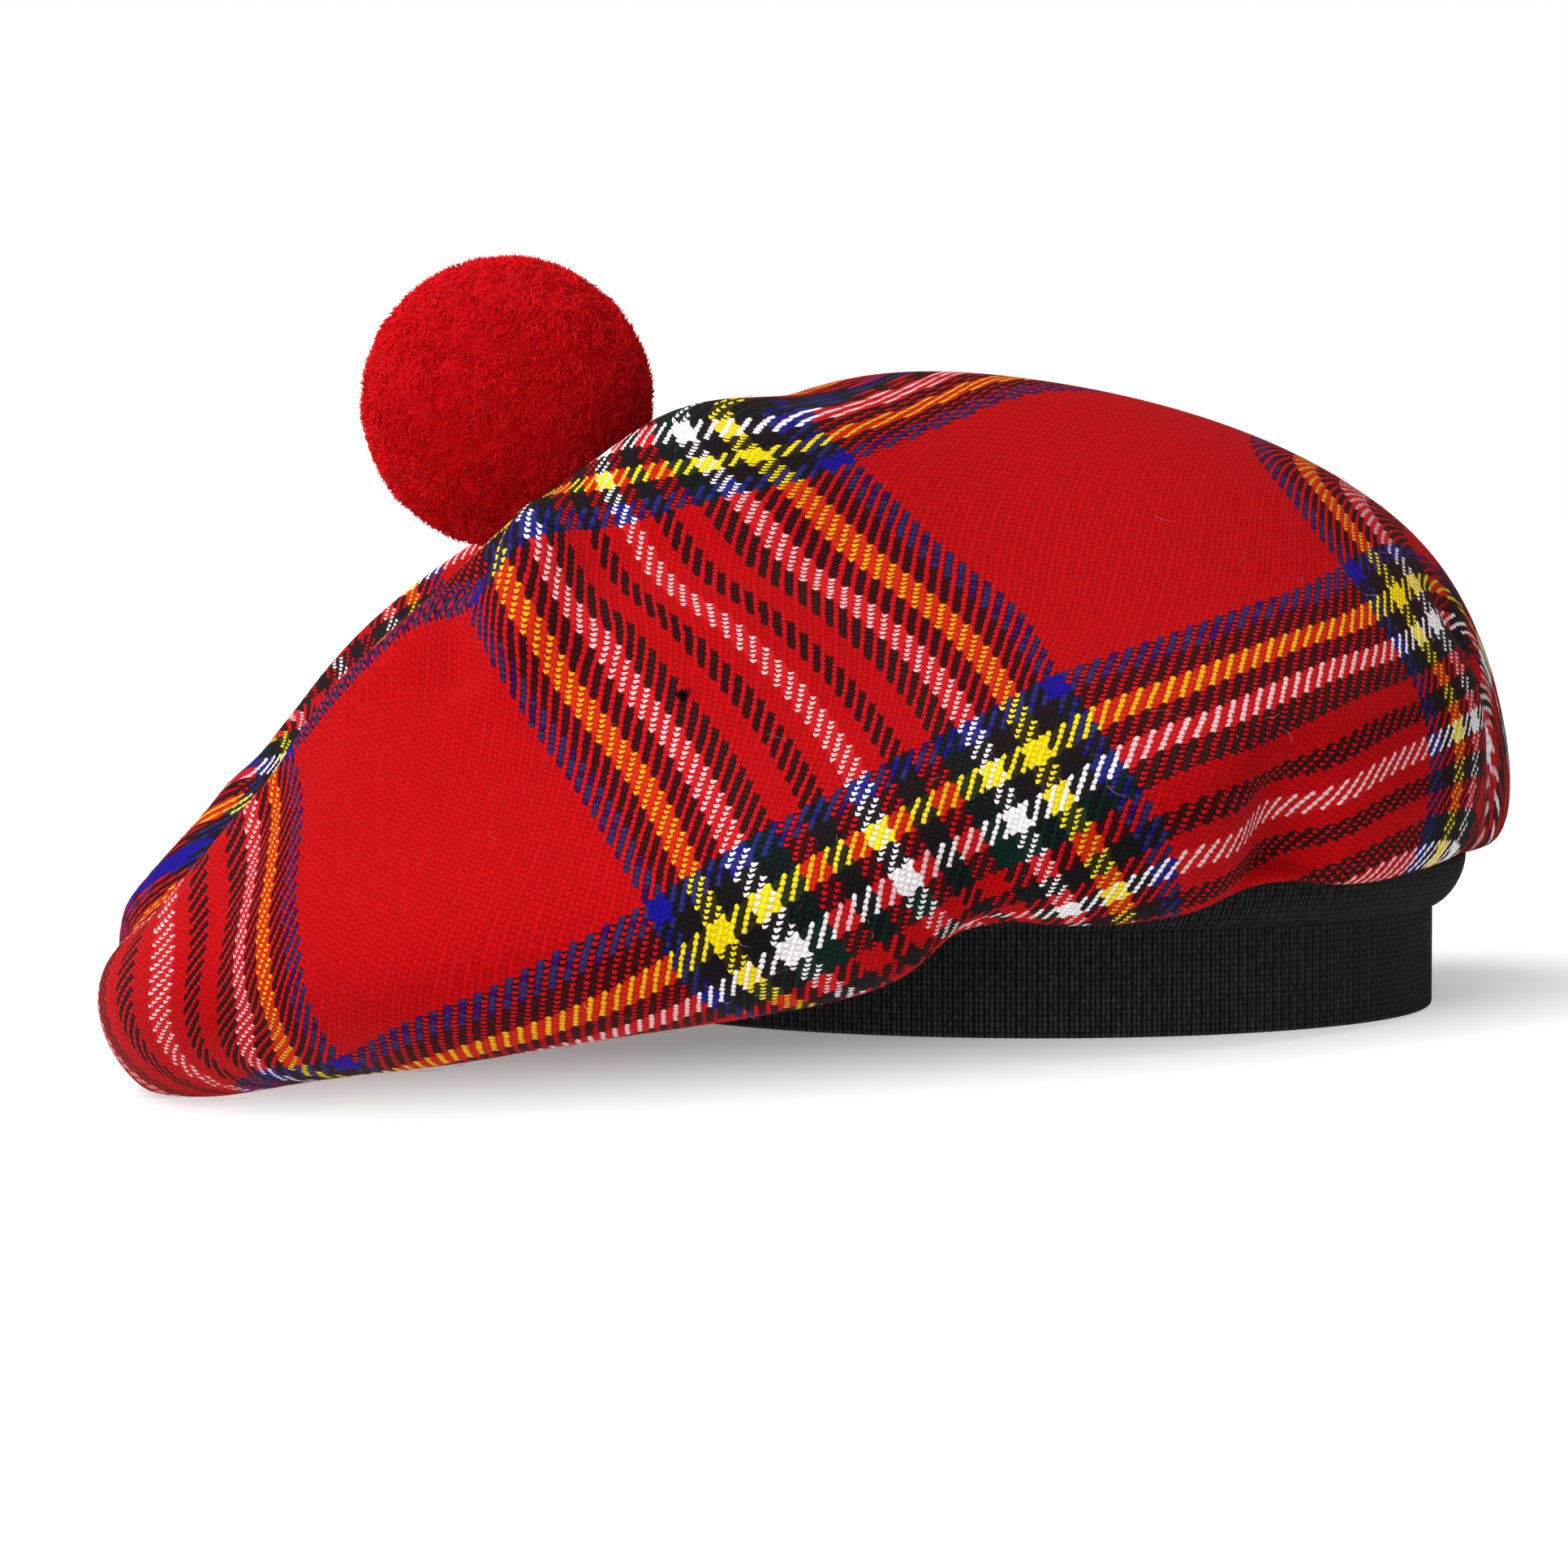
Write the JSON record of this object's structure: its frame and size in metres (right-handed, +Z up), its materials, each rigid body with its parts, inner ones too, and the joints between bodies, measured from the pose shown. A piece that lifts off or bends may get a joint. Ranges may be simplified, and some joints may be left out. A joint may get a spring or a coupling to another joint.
{
  "type": "tam o shanter",
  "caption": "Floppy round tartan cloth hat gathered onto a knitted headband, with a round yarn pompom on its crown, lying as it rests by itself.",
  "frame": {"origin": "centre of the hat's bounding box seen from above, at the level it rests on", "axes": "+Z up, +Y away from the viewer of the front, +X towards the headband's side and away from the side the crown flops over"},
  "size_m": [0.28, 0.2766, 0.1586],
  "materials": {
    "tartan_cloth": "brushed twill in a red tartan check",
    "black_knit": "fine elastic knit",
    "red_yarn": "cut yarn pile"
  },
  "bodies": {
    "root": {"crown": "tartan_cloth", "headband": "black_knit", "pompom": "red_yarn"}
  },
  "joints": []
}
